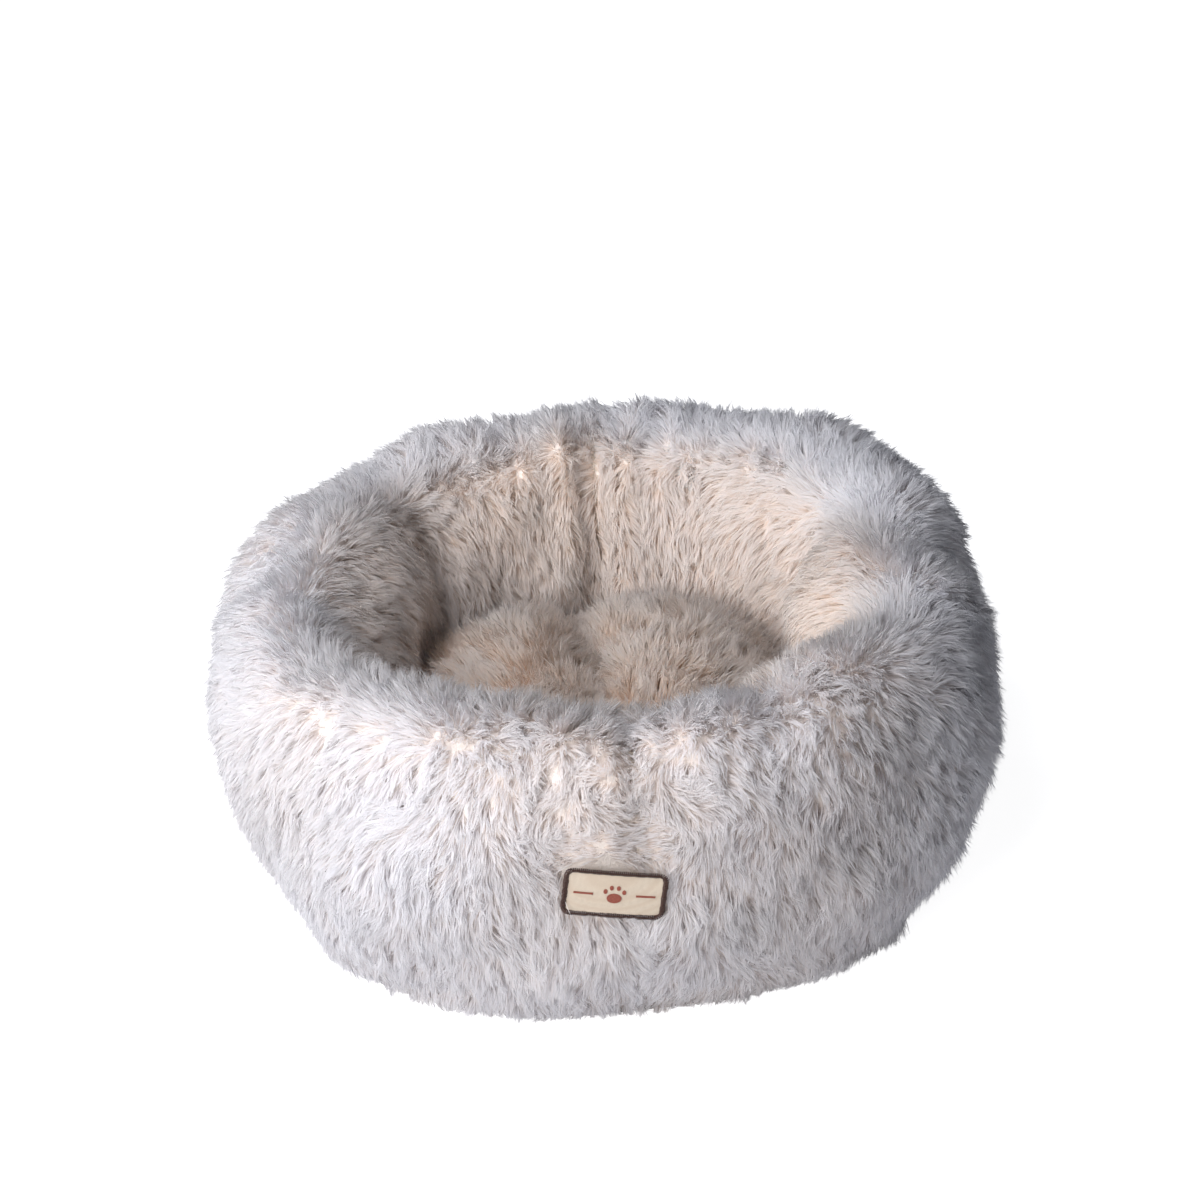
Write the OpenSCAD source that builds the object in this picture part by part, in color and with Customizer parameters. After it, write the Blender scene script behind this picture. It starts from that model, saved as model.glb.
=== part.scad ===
// High-walled round pet bed in long-pile plush, with a lift-out cushion. Sizes in millimetres.
// The floor is z = 0, the front faces -Y, and +X is to the right of someone facing the front.

/* [Bed] */
// Width over the wall, pile included
bed_w = 570; // [450:5:720]
// Depth from front to back over the wall, pile included
bed_d = 560; // [450:5:720]
// Height of the tallest part of the crest above the floor
bed_h = 250; // [190:5:320]
// Squareness of the outline, where 2 is an ellipse
plan_power = 2.35; // [2:0.05:3]

/* [Wall] */
// Thickness of the stuffed wall at its fullest level, pile included
wall_t = 146; // [110:2:180]
// How far the crest leans outward from the foot
wall_lean = 28; // [0:2:50]
// Height of the wall's fullest level above the floor
wall_mid = 124; // [80:2:150]
// Roundness of the wall's section, where 2 is an ellipse
wall_power = 2.3; // [2:0.05:3]
// Share of the section's lower half that is left above the flat foot
foot_share = 0.95; // [0.7:0.01:0.97]
// How much lower the crest is on its low side
crest_drop = 12; // [0:1:30]
// Direction of the tallest crest, in degrees from the right-hand side
crest_turn = 35; // [-180:5:180]

/* [Plush and cloth] */
// Plush thickness with its pile lying down
plush_t = 18; // [10:1:26]
// Non-slip base cloth thickness
base_t = 2; // [1:0.2:4]
// Thickness of the wadding in the nest's floor
wadding_t = 6; // [3:0.5:12]
// Thickness of the nest's floor lining
lining_t = 2; // [1:0.2:4]
// Thickness of the cloth under the cushion
cloth_t = 2; // [1:0.2:4]
// Space between neighbouring layers
gap = 0.3; // [0.2:0.05:0.6]

/* [Seams] */
// Width of the turned-in seam allowances
seam_w = 8; // [5:0.5:12]
// Thickness of the turned-in seam allowances
seam_t = 3; // [2:0.5:5]
// Thickness of the wall's upright seams
upright_t = 2.4; // [1.6:0.2:4]
// Depth of pile that covers the wall's upright seams
upright_cover = 8; // [4:1:14]

/* [Cushion] */
// Space all round between the cushion and the narrowest level of the nest
cushion_gap = 3; // [2:0.5:8]
// Height of the cushion at its crown
cushion_h = 150; // [100:2:170]
// Height of the cushion's side seam above its underside
cushion_seam_h = 62; // [40:2:80]
// Roundness of the cushion's section
cushion_power = 3; // [2:0.1:4]
// Share of the cushion's lower half that is left above its flat underside
cushion_foot_share = 0.9; // [0.7:0.01:0.95]

/* [Label] */
// Label width with its border
label_w = 67; // [40:1:90]
// Label height with its border
label_h = 37; // [24:1:50]
// Label corner radius
label_r = 6; // [2:0.5:10]
// Height of the label's middle above the floor
label_z = 141; // [100:1:160]
// Distance of the label's middle to the right of the bed's middle
label_x = 1; // [-40:1:40]
// How far the label's right end hangs down, in degrees
label_tilt = 8; // [-10:0.5:10]
// Label cloth thickness
label_t = 1.2; // [0.8:0.1:2]
// Width of the overlocked border
border_w = 2.8; // [2:0.1:4]
// How far the border stands above the label cloth
border_rise = 0.7; // [0.3:0.1:1.2]
// Depth at which the label cloth's back is pressed into the pile
label_sink = 2.8; // [2.2:0.1:5]
// Diameter of the paw emblem's pad
paw_d = 8.4; // [6:0.2:10]
// Thickness of the emblem's stitching
emblem_t = 0.5; // [0.3:0.1:1]

/* [Hidden] */
// Steps round the bed, round the cushion and over the wall's section
n_bed = 72;
n_cushion = 48;
n_over = 24;
n_cap = 8;
// Places the wall's centre line so that the outline measures bed_w by bed_d
wall_dual = wall_power / (wall_power - 1);
wall_reach = pow(pow(wall_t / 2, wall_dual) + pow(wall_lean / 2, wall_dual), 1 / wall_dual);
mid_a = bed_w / 2 - wall_reach;
mid_b = bed_d / 2 - wall_reach;
// Levels of the floor's layers
foot_z = base_t + gap;
wadding_z = foot_z;
lining_z = wadding_z + wadding_t + gap;
cushion_z = lining_z + lining_t + gap;
stuffing_z = foot_z + seam_t + gap;
// Half-height of the section's lower half before its foot is flattened
wall_low = (wall_mid - foot_z) / foot_share;
foot_turn = asin(pow(foot_share, wall_power / 2));
stuffing_turn = asin(pow((wall_mid - stuffing_z) / wall_low, wall_power / 2));
// Cushion levels
seam_z = cushion_z + cushion_seam_h;
seam_half = seam_t / 2 + gap;
cushion_up = cushion_h - cushion_seam_h - seam_half;
cushion_low = (cushion_seam_h - seam_half) / cushion_foot_share;
cushion_turn = asin(pow(cushion_foot_share, cushion_power / 2));

function spow(v, e) = sign(v) * pow(abs(v), e);
function plan_r(th) = pow(pow(abs(cos(th)) / mid_a, plan_power)
                          + pow(abs(sin(th)) / mid_b, plan_power), -1 / plan_power);
function crest_z(th) = bed_h - crest_drop * (1 - cos(th - crest_turn)) / 2;
function polar(r, th, z) = [r * cos(th), r * sin(th), z];

// Section of the wall: [radius, height] at turn u, for a layer that lies inset inside the pile
function wall_level(th, z) = z >= wall_mid ? (z - wall_mid) / (crest_z(th) - wall_mid)
                                           : (z - wall_mid) / wall_low;
function wall_side(level) = pow(max(0, 1 - pow(abs(level), wall_power)), 1 / wall_power);
function wall_in_r(th, z) = plan_r(th) - wall_t / 2 * wall_side(wall_level(th, z))
                            + wall_lean / 2 * wall_level(th, z);
function wall_out_r(th, z) = plan_r(th) + wall_t / 2 * wall_side(wall_level(th, z))
                             + wall_lean / 2 * wall_level(th, z);
function wall_rz(th, u, inset) =
    let (side = spow(cos(u), 2 / wall_power))
    let (level = spow(sin(u), 2 / wall_power))
    let (up = crest_z(th) - wall_mid - inset)
    [plan_r(th) + (wall_t / 2 - inset) * side + wall_lean / 2 * level,
     wall_mid + (level >= 0 ? up : wall_low) * level];

// Turns over the wall from its outer foot to its inner foot
function over_turns(first) =
    [for (i = [0:n_over]) i == 0 ? -first : i == n_over ? 180 + first
        : -foot_turn + i * (180 + 2 * foot_turn) / n_over];
function shell_section(th, outer, inner) =
    concat([for (u = over_turns(foot_turn)) wall_rz(th, u, outer)],
           [for (i = [n_over:-1:0]) wall_rz(th, over_turns(foot_turn)[i], inner)]);
// The stuffing's two foot turns are drawn in, because the cover's facets run straight past them
function stuffing_inset(i) = plush_t + (i == 0 || i == n_over ? 10 : 2) * gap;
function stuffing_section(th) =
    [for (i = [0:n_over]) wall_rz(th, over_turns(stuffing_turn)[i], stuffing_inset(i))];

// Two triangles between rows a and b of one grid, from column j to column k
function quad(a, b, j, k) = [[a + j, a + k, b + k], [a + j, b + k, b + j]];
function grid_faces(rows, cols, closed) =
    [for (i = [0:rows - (closed ? 1 : 2)], j = [0:cols - 1])
        each quad(i * cols, ((i + 1) % rows) * cols, j, (j + 1) % cols)];

// One half of the wall's cover, kept clear of the upright seams by clear
module half_shell(from, side, clear) {
    steps = n_bed / 2;
    cols = 2 * (n_over + 1);
    sections = [for (i = [0:steps]) let (th = from + 180 * i / steps)
        [for (q = shell_section(th, 0, plush_t)) polar(q[0], th, q[1])]];
    points = [for (s = sections) each [for (p = s) [side * max(clear, side * p[0]), p[1], p[2]]]];
    last = steps * cols;
    start = [for (j = [0:n_over - 1]) each [[j, cols - 2 - j, j + 1], [j, cols - 1 - j, cols - 2 - j]]];
    end = [for (f = start) [last + f[0], last + f[2], last + f[1]]];
    polyhedron(points, concat(grid_faces(steps + 1, cols, false), start, end));
}

// Closed form from a list of rings, each [share of the plan, inset, height], with a pole at each end
module domed(rings) {
    count = len(rings);
    body = [for (q = [1:count - 2]) each
        [for (i = [0:n_cushion - 1]) let (th = 360 * i / n_cushion)
            polar((cushion_r(th) - rings[q][1]) * rings[q][0], th, rings[q][2])]];
    rows = count - 2;
    last = rows * n_cushion;
    points = concat(body, [[0, 0, rings[0][2]], [0, 0, rings[count - 1][2]]]);
    sides = [for (q = [0:rows - 2], i = [0:n_cushion - 1])
        each quad(q * n_cushion, (q + 1) * n_cushion, i, (i + 1) % n_cushion)];
    start = [for (i = [0:n_cushion - 1]) [last, (i + 1) % n_cushion, i]];
    end = [for (i = [0:n_cushion - 1])
        [last + 1, (rows - 1) * n_cushion + i, (rows - 1) * n_cushion + (i + 1) % n_cushion]];
    polyhedron(points, concat(sides, start, end));
}

module outline(shrink, z) {
    polygon([for (i = [0:n_bed - 1]) let (th = 360 * i / n_bed)
        [(wall_in_r(th, z) - shrink) * cos(th), (wall_in_r(th, z) - shrink) * sin(th)]]);
}
module polar_ring(radii_out, radii_in) {
    difference() {
        polygon([for (i = [0:len(radii_out) - 1]) let (th = 360 * i / len(radii_out))
            [radii_out[i] * cos(th), radii_out[i] * sin(th)]]);
        polygon([for (i = [0:len(radii_in) - 1]) let (th = 360 * i / len(radii_in))
            [radii_in[i] * cos(th), radii_in[i] * sin(th)]]);
    }
}
function bed_ring(u, inset, shift) =
    [for (i = [0:n_bed - 1]) wall_rz(360 * i / n_bed, u, inset)[0] + shift];

module base_cloth() {
    color("dimgray") linear_extrude(base_t) polygon([for (i = [0:n_bed - 1])
        let (th = 360 * i / n_bed)
        [wall_out_r(th, foot_z) * cos(th), wall_out_r(th, foot_z) * sin(th)]]);
}
module base_seam() {
    color("tan") translate([0, 0, foot_z]) linear_extrude(seam_t)
        polar_ring(bed_ring(-foot_turn, plush_t, -gap), bed_ring(-foot_turn, plush_t, -gap - seam_w));
}
module floor_seam() {
    turn = 180 + foot_turn;
    color("tan") translate([0, 0, foot_z]) linear_extrude(seam_t)
        polar_ring(bed_ring(turn, plush_t, gap + seam_w), bed_ring(turn, plush_t, gap));
}
module floor_wadding() {
    color("white") translate([0, 0, wadding_z]) linear_extrude(wadding_t)
        outline(gap, wadding_z + wadding_t);
}
module floor_lining() {
    color("bisque") translate([0, 0, lining_z]) linear_extrude(lining_t)
        outline(gap, lining_z + lining_t);
}

module wall_cover_left() {
    color("ivory") difference() {
        half_shell(90, -1, upright_t / 2 + gap);
        label_pocket();
    }
}
module wall_cover_right() {
    color("floralwhite") difference() {
        half_shell(-90, 1, upright_t / 2 + gap);
        label_pocket();
    }
}
module upright_seam(th) {
    rotate([0, 0, th]) translate([0, upright_t / 2, 0]) rotate([90, 0, 0])
        linear_extrude(upright_t) polygon(shell_section(th, upright_cover, plush_t));
}
module wall_seam_front() {
    color("tan") upright_seam(-90);
}
module wall_seam_back() {
    color("tan") upright_seam(90);
}
module wall_stuffing() {
    cols = n_over + 1;
    points = [for (i = [0:n_bed - 1]) let (th = 360 * i / n_bed) each
        [for (q = stuffing_section(th)) polar(q[0], th, q[1])]];
    color("whitesmoke") polyhedron(points, grid_faces(n_bed, cols, true));
}

// The label follows the front of the wall; u runs along it and v up it
label_round = wall_out_r(-90, label_z);
function label_point(u, v, off) =
    let (th = -90 + (label_x + u) / label_round * 180 / PI)
    let (z = label_z + v)
    polar(wall_out_r(th, z) + off, th, z);
module label_sheet(back, front) {
    nu = 18;
    nv = 12;
    half_u = label_w / 2 + 6;
    half_v = label_h / 2 + 8;
    cols = nv + 1;
    layer = (nu + 1) * cols;
    points = [for (off = [back, front]) each [for (i = [0:nu], j = [0:nv])
        label_point(-half_u + 2 * half_u * i / nu, -half_v + 2 * half_v * j / nv, off)]];
    top = [for (i = [0:nu - 1], j = [0:nv - 1])
        each quad(layer + i * cols, layer + (i + 1) * cols, j, j + 1)];
    under = [for (i = [0:nu - 1], j = [0:nv - 1])
        each quad((i + 1) * cols, i * cols, j, j + 1)];
    ends = [for (j = [0:nv - 1]) each concat(quad(0, layer, j, j + 1),
        quad(layer + nu * cols, nu * cols, j, j + 1))];
    edges = [for (i = [0:nu - 1]) let (a = i * cols) let (b = a + cols)
        each [[a, a + layer, b + layer], [a, b + layer, b],
              [a + nv, b + layer + nv, a + layer + nv], [a + nv, b + nv, b + layer + nv]]];
    polyhedron(points, concat(top, under, ends, edges));
}
module label_face(depth) {
    translate([label_x, 0, label_z]) rotate([90, 0, 0]) rotate([0, 0, -label_tilt])
        linear_extrude(depth) children();
}
module rounded(w, h, r) {
    square([w - 2 * r, h], center = true);
    square([w, h - 2 * r], center = true);
    for (x = [-1, 1], y = [-1, 1])
        translate([x * (w / 2 - r), y * (h / 2 - r)]) circle(r, $fn = 32);
}
module label_pocket() {
    intersection() {
        label_sheet(-label_sink - gap, label_sink + border_rise);
        label_face(bed_d) rounded(label_w + 2 * gap, label_h + 2 * gap, label_r + gap);
    }
}
module label_patch() {
    color("wheat") intersection() {
        label_sheet(-label_sink, -label_sink + label_t);
        label_face(bed_d) rounded(label_w - 2 * border_w - gap, label_h - 2 * border_w - gap,
                                  label_r - border_w);
    }
}
module label_border() {
    color("saddlebrown") intersection() {
        label_sheet(-label_sink, -label_sink + label_t + border_rise);
        label_face(bed_d) difference() {
            rounded(label_w, label_h, label_r);
            rounded(label_w - 2 * border_w, label_h - 2 * border_w, label_r - border_w + gap / 2);
        }
    }
}
module label_emblem() {
    lift = -label_sink + label_t + 0.05;
    color("firebrick") intersection() {
        label_sheet(lift, lift + emblem_t);
        label_face(bed_d) paw();
    }
}
module paw() {
    toe = paw_d * 0.36;
    translate([0, -paw_d * 0.32]) scale([1.15, 0.9]) circle(d = paw_d, $fn = 32);
    for (q = [[-0.72, 0.30], [-0.27, 0.66], [0.27, 0.66], [0.72, 0.30]])
        translate(paw_d * q) scale([0.85, 1.15]) circle(d = toe, $fn = 20);
    for (x = [-1, 1])
        translate([x * (label_w / 2 - border_w - paw_d * 1.25), 0])
            square([paw_d * 1.5, paw_d * 0.16], center = true);
}

// Cushion: it is as wide as the narrowest level of the nest lets through
function cushion_r(th) = plan_r(th) - wall_reach - cushion_gap;
function cap_ring(u, inset_r, inset_z, dir, tall) =
    [spow(cos(u), 2 / cushion_power), inset_r,
     seam_z + dir * (seam_half + (tall - inset_z) * spow(sin(u), 2 / cushion_power))];
module cushion_top() {
    outer = [for (i = [n_cap:-1:0]) cap_ring(90 * i / n_cap, 0, 0, 1, cushion_up)];
    inner = [for (i = [0:n_cap]) cap_ring(90 * i / n_cap, plush_t, plush_t, 1, cushion_up)];
    color("linen") domed(concat(outer, inner));
}
module cushion_bottom() {
    rise = cushion_low * cushion_foot_share;
    outer = [for (i = [0:n_cap]) cap_ring(cushion_turn * i / n_cap, 0, 0, -1, cushion_low)];
    inner = [for (i = [n_cap:-1:0])
        cap_ring(cushion_turn * i / n_cap, cloth_t, cloth_t / cushion_foot_share, -1, cushion_low)];
    floor_z = seam_z - seam_half - rise;
    poles = [[0, 0, floor_z + cloth_t], [0, 0, floor_z]];
    color("antiquewhite") domed(concat([poles[0]], inner, outer, [poles[1]]));
}
module cushion_seam() {
    rim = [for (i = [0:n_cushion - 1]) cushion_r(360 * i / n_cushion)];
    color("tan") translate([0, 0, seam_z - seam_t / 2]) linear_extrude(seam_t)
        polar_ring([for (r = rim) r - cloth_t], [for (r = rim) r - cloth_t - seam_w]);
}
module cushion_stuffing() {
    side = plush_t + gap;
    skin = cloth_t + gap;
    upper = [for (i = [n_cap:-1:0]) cap_ring(90 * i / n_cap, side, side, 1, cushion_up)];
    step = [[1, side, seam_z - seam_half - gap]];
    lower = [for (i = [0:n_cap])
        let (q = cap_ring(cushion_turn * i / n_cap, skin, skin / cushion_foot_share, -1, cushion_low))
        [q[0], q[1], q[2] - (i == 0 ? 2 * gap : 0)]];
    foot = [[0, 0, cushion_z + skin]];
    color("whitesmoke") domed(concat(upper, step, lower, foot));
}

base_cloth();
base_seam();
floor_wadding();
floor_lining();
floor_seam();
wall_cover_left();
wall_cover_right();
wall_seam_front();
wall_seam_back();
wall_stuffing();
label_patch();
label_border();
label_emblem();
cushion_top();
cushion_bottom();
cushion_seam();
cushion_stuffing();
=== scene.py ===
import math

import bmesh
import bpy
import numpy as np
from mathutils import Matrix, Vector


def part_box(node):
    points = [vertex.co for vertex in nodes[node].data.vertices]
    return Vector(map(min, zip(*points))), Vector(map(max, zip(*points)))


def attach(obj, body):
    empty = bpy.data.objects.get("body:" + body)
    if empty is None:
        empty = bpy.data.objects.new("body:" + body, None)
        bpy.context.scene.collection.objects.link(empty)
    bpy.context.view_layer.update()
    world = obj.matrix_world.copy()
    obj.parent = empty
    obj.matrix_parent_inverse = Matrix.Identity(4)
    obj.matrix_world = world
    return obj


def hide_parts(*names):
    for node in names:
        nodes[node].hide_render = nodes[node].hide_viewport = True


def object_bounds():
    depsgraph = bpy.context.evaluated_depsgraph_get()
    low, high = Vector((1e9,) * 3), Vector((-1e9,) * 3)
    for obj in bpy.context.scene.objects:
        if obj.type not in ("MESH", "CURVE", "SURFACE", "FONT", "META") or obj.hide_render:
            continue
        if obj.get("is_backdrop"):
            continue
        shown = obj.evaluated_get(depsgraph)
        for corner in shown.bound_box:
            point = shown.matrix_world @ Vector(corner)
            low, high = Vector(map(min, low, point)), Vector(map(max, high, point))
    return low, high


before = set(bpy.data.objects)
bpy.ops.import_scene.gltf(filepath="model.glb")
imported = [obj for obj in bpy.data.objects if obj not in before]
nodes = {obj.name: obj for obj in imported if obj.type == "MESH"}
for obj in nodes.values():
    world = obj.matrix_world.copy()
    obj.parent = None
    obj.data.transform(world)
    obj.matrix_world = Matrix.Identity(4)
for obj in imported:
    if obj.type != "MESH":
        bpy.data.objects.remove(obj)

start_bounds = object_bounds()
RNG = np.random.default_rng(20261119)
RAD = math.pi / 180

# ---------------------------------------------------------------- sizes from the frame, in metres
left_lo, left_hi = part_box("wall_cover_left")
_, right_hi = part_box("wall_cover_right")
_, cush_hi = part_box("cushion_top")
under_lo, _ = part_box("cushion_bottom")
_, base_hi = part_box("base_cloth")
label_lo, label_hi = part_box("label_border")

# the same choices as the CAD's
CUSHION_GAP = 0.003     # between the cushion and the nest's narrowest level
WALL_T = 0.146          # the wall's thickness at its fullest level
WALL_LEAN = 0.028       # how far the crest leans out from the foot
WALL_MID = 0.124        # height of the fullest level
WALL_POWER = 2.3        # roundness of the wall's section
FOOT_SHARE = 0.95       # share of the section's lower half above the flat foot
PLAN_POWER = 2.35       # squareness of the outline
PLAN_TURN = 9 * RAD     # the squarish outline is turned a little on the floor
LABEL_HALF_W, LABEL_HALF_H, LABEL_CORNER = 0.0335, 0.0185, 0.006
LABEL_INSET = 0.0014    # from the label's outline in to the middle of its border
LABEL_TILT = -8 * RAD
bed_a = (right_hi.x - left_lo.x) / 2
bed_b = (left_hi.y - left_lo.y) / 2
reach = (bed_a - cush_hi.x - CUSHION_GAP) / 2
mid_a, mid_b = bed_a - reach, bed_b - reach
crest_high, crest_low = right_hi.z, left_hi.z - 0.006
foot_z = base_hi.z + 0.0003             # the wall stands just clear of the base cloth
wall_low = (WALL_MID - foot_z) / FOOT_SHARE
foot_turn = math.asin(FOOT_SHARE ** (WALL_POWER / 2))
PILE = 0.0155           # how far the skin lies under the pile's surface
SEAM_FRONT = -86 * RAD
SEAM_BACK = 90 * RAD


def spow(v, e):
    """Power of v's size that keeps its sign."""
    return np.sign(v) * np.abs(v) ** e


def wrap(a):
    """Angle in radians brought to between -pi and pi."""
    return (a + math.pi) % (2 * math.pi) - math.pi


def bump(x, width):
    """1 at x = 0, falling smoothly to 0 over a few widths."""
    return np.exp(-(x / width) ** 2)


def step(x, lo, hi):
    """Smooth rise from 0 at lo to 1 at hi."""
    t = np.clip((x - lo) / (hi - lo), 0, 1)
    return t * t * (3 - 2 * t)


def plan_r(th):
    """Distance from the middle of the bed to the middle of the wall's thickness."""
    t = th - PLAN_TURN
    c, s = np.abs(np.cos(t)) / mid_a, np.abs(np.sin(t)) / mid_b
    return (c ** PLAN_POWER + s ** PLAN_POWER) ** (-1 / PLAN_POWER)


class Waves:
    """Smooth seeded noise of a point in space, about -1 to 1."""

    def __init__(self, seed, size, count=14):
        r = np.random.default_rng(seed)
        k = r.normal(size=(count, 3))
        k /= np.linalg.norm(k, axis=1)[:, None]
        self.k = k * (r.uniform(0.6, 1.5, count) * 2 * math.pi / size)[:, None]
        self.p = r.uniform(0, 2 * math.pi, count)
        self.n = math.sqrt(count / 2)

    def __call__(self, p):
        return np.sin(p @ self.k.T + self.p).sum(-1) / self.n


# ---------------------------------------------------------------- the wall's skin
CREST_TURN = 35 * RAD                   # where the crest is tallest
LEFT_FOLD, RIGHT_FOLD = 135, 25         # deep folds beside the nest's two lobes, in degrees
FRONT_FOLD = -62


def wall_surface(th, u, inset):
    """Points of the stuffed wall's skin at plan turn th and section turn u.

    th goes round from the right-hand side over the back. u goes from the outer foot (below 0) over
    the crest (90 degrees) to the inner foot (above 180 degrees).
    """
    crest = crest_high - (crest_high - crest_low) * (1 - np.cos(th - CREST_TURN)) / 2
    crest = crest + 0.006 * bump(wrap(th - 38 * RAD), 0.40) + 0.003 * bump(wrap(th - 140 * RAD), 0.35)
    crest = crest + 0.014 * bump(wrap(th - 94 * RAD), 0.18)
    side = spow(np.cos(u), 2 / WALL_POWER)
    level = spow(np.sin(u), 2 / WALL_POWER)
    half = WALL_T / 2 - inset
    r = plan_r(th) + half * side + WALL_LEAN / 2 * level
    z = WALL_MID + np.where(level >= 0, crest - WALL_MID - inset, wall_low) * level
    z = np.maximum(z, foot_z)
    # inner is 1 on the nest's side and 0 outside, outer the other way round
    inner = step(np.degrees(u), 70, 130)
    outer = 1 - step(np.degrees(u), 40, 100)
    top = bump(np.degrees(u) - 95, 55)
    push = np.zeros_like(r)      # along the section's normal, out of the stuffing
    deg = np.degrees(th)

    def away(a):
        return (deg - a + 180) % 360 - 180

    # two lobes that swell into the nest, each with a deep fold beside it
    down = step(np.degrees(u), 90, 200)
    high = 0.3 + 0.7 * step(z, 0.145, 0.190)
    deep = step(np.degrees(u), 92, 150)
    left_fold = away(LEFT_FOLD + 6 * down)
    push += deep * high * (0.019 * bump(left_fold - 26, 24) - 0.014 * bump(left_fold, 8))
    right_fold = away(RIGHT_FOLD - 6 * down)
    push += deep * high * (0.018 * bump(right_fold + 28, 22) - 0.016 * bump(right_fold, 6))
    push += inner * (0.006 * bump(away(55), 22) - 0.004 * bump(away(118), 14))
    front_fold = away(FRONT_FOLD)
    push += (inner + top) * 0.5 * (0.006 * bump(front_fold - 12, 11) - 0.010 * bump(front_fold, 5))
    # gathers along the two upright seams
    back = away(np.degrees(SEAM_BACK))
    push -= (0.10 + 0.90 * step(np.degrees(u), 88, 135)) * 0.012 * bump(back, 4.2)
    pleats = np.cos(deg * RAD * 44) * bump(back, 13) * (1 - bump(back, 3))
    push += 0.0035 * pleats * np.maximum(inner, top)
    front = away(np.degrees(SEAM_FRONT))
    push -= (0.35 + 0.45 * top + 0.2 * outer) * 0.006 * bump(front, 4)
    push += 0.0025 * np.cos(deg * RAD * 52) * bump(front, 12) * top
    # outline: fuller to the back right, the front left and low on the front right
    push += outer * (0.018 * bump(away(41), 22) + 0.004 * bump(away(-128), 26)
                     + 0.002 * bump(away(140), 22) - 0.011 * bump(away(-6), 20)
                     + 0.010 * bump(away(-42), 16) * step(-np.degrees(u), -30, 20)
                     - 0.004 * bump(away(180), 30))
    push -= 0.005 * step(-np.degrees(u), 5, 45)
    nr, nz = np.cos(u), np.sin(u)
    r = r + push * nr
    z = z + push * nz * (z > foot_z + 0.004)
    return np.stack([r * np.cos(th), r * np.sin(th), z], -1)


NT, NU = 288, 84        # steps round the bed and over the wall's section
ths = np.arange(NT) * 2 * math.pi / NT
us = np.linspace(-foot_turn, math.pi + foot_turn, NU)
TH, UU = np.meshgrid(ths, us, indexing="ij")
ring = wall_surface(TH, UU, PILE)
lumps = Waves(5, 0.16)(ring) * 0.0035 + Waves(6, 0.07)(ring) * 0.0012


def unit(v):
    return v / np.maximum(np.linalg.norm(v, axis=-1, keepdims=True), 1e-12)


def grid_frame(p):
    """Unit normal and unit tangents of a grid of points that closes along its first index."""
    ti = np.roll(p, -1, 0) - np.roll(p, 1, 0)
    tj = np.gradient(p, axis=1)
    return [unit(v) for v in (np.cross(ti, tj), ti, tj)]


n0, _, _ = grid_frame(ring)
if (n0[0, NU // 4] @ ring[0, NU // 4]) < 0:
    n0 = -n0
free = step(ring[..., 2], foot_z + 0.002, foot_z + 0.03)
ring = ring + n0 * (lumps * free)[..., None]


def mesh_object(name, verts, faces):
    """A mesh from arrays; faces is a list of (k, 3) or (k, 4) index arrays."""
    me = bpy.data.meshes.new(name)
    verts = np.ascontiguousarray(verts, np.float32).reshape(-1, 3)
    flat = np.concatenate([f.reshape(-1) for f in faces]).astype(np.int32)
    totals = np.concatenate([np.full(len(f), f.shape[1], np.int32) for f in faces])
    me.vertices.add(len(verts))
    me.vertices.foreach_set("co", verts.reshape(-1))
    me.loops.add(len(flat))
    me.loops.foreach_set("vertex_index", flat)
    me.polygons.add(len(totals))
    starts = np.concatenate([[0], np.cumsum(totals)[:-1]]).astype(np.int32)
    me.polygons.foreach_set("loop_start", starts)
    me.polygons.foreach_set("loop_total", totals)
    me.update(calc_edges=True)
    me.polygons.foreach_set("use_smooth", np.ones(len(totals), bool))
    ob = bpy.data.objects.new(name, me)
    bpy.context.scene.collection.objects.link(ob)
    return ob


def grid_quads(ni, nj, closed_i, closed_j):
    """Faces between neighbouring points of an ni by nj grid."""
    i = np.arange(ni if closed_i else ni - 1)
    j = np.arange(nj if closed_j else nj - 1)
    a, b = np.meshgrid(i, j, indexing="ij")
    a2, b2 = (a + 1) % ni, (b + 1) % nj
    return np.stack([a * nj + b, a2 * nj + b, a2 * nj + b2, a * nj + b2], -1).reshape(-1, 4)


def co_of(ob):
    """An object's own points, in its own frame."""
    out = np.empty(len(ob.data.vertices) * 3, np.float32)
    ob.data.vertices.foreach_get("co", out)
    return out.reshape(-1, 3).astype(float)


def inflate(name, points, quads, pinned, pressure, frames, cap):
    """Runs a pressure cloth simulation and returns the points moved by at most cap."""
    ob = mesh_object(name, points, [quads])
    group = ob.vertex_groups.new(name="pin")
    for i in np.flatnonzero(pinned > 0.01):
        group.add([int(i)], float(pinned[i]), "REPLACE")
    mod = ob.modifiers.new("cloth", "CLOTH")
    s = mod.settings
    s.quality = 5
    s.mass = 0.3
    s.tension_stiffness = 12
    s.compression_stiffness = 12
    s.shear_stiffness = 6
    s.bending_stiffness = 1.2
    s.use_pressure = True
    s.uniform_pressure_force = pressure
    s.effector_weights.gravity = 0
    s.vertex_group_mass = "pin"
    mod.collision_settings.use_collision = False
    mod.point_cache.frame_start = 1
    mod.point_cache.frame_end = frames
    for f in range(1, frames + 1):
        bpy.context.scene.frame_set(f)
    ev = ob.evaluated_get(bpy.context.evaluated_depsgraph_get())
    out = np.empty(len(points) * 3, np.float32)
    ev.data.vertices.foreach_get("co", out)
    moved = out.reshape(-1, 3).astype(float) - points
    bpy.data.objects.remove(ob)
    bpy.context.scene.frame_set(1)
    length = np.linalg.norm(moved, axis=1, keepdims=True)
    return points + moved * np.minimum(1, cap / np.maximum(length, 1e-9))


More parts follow.
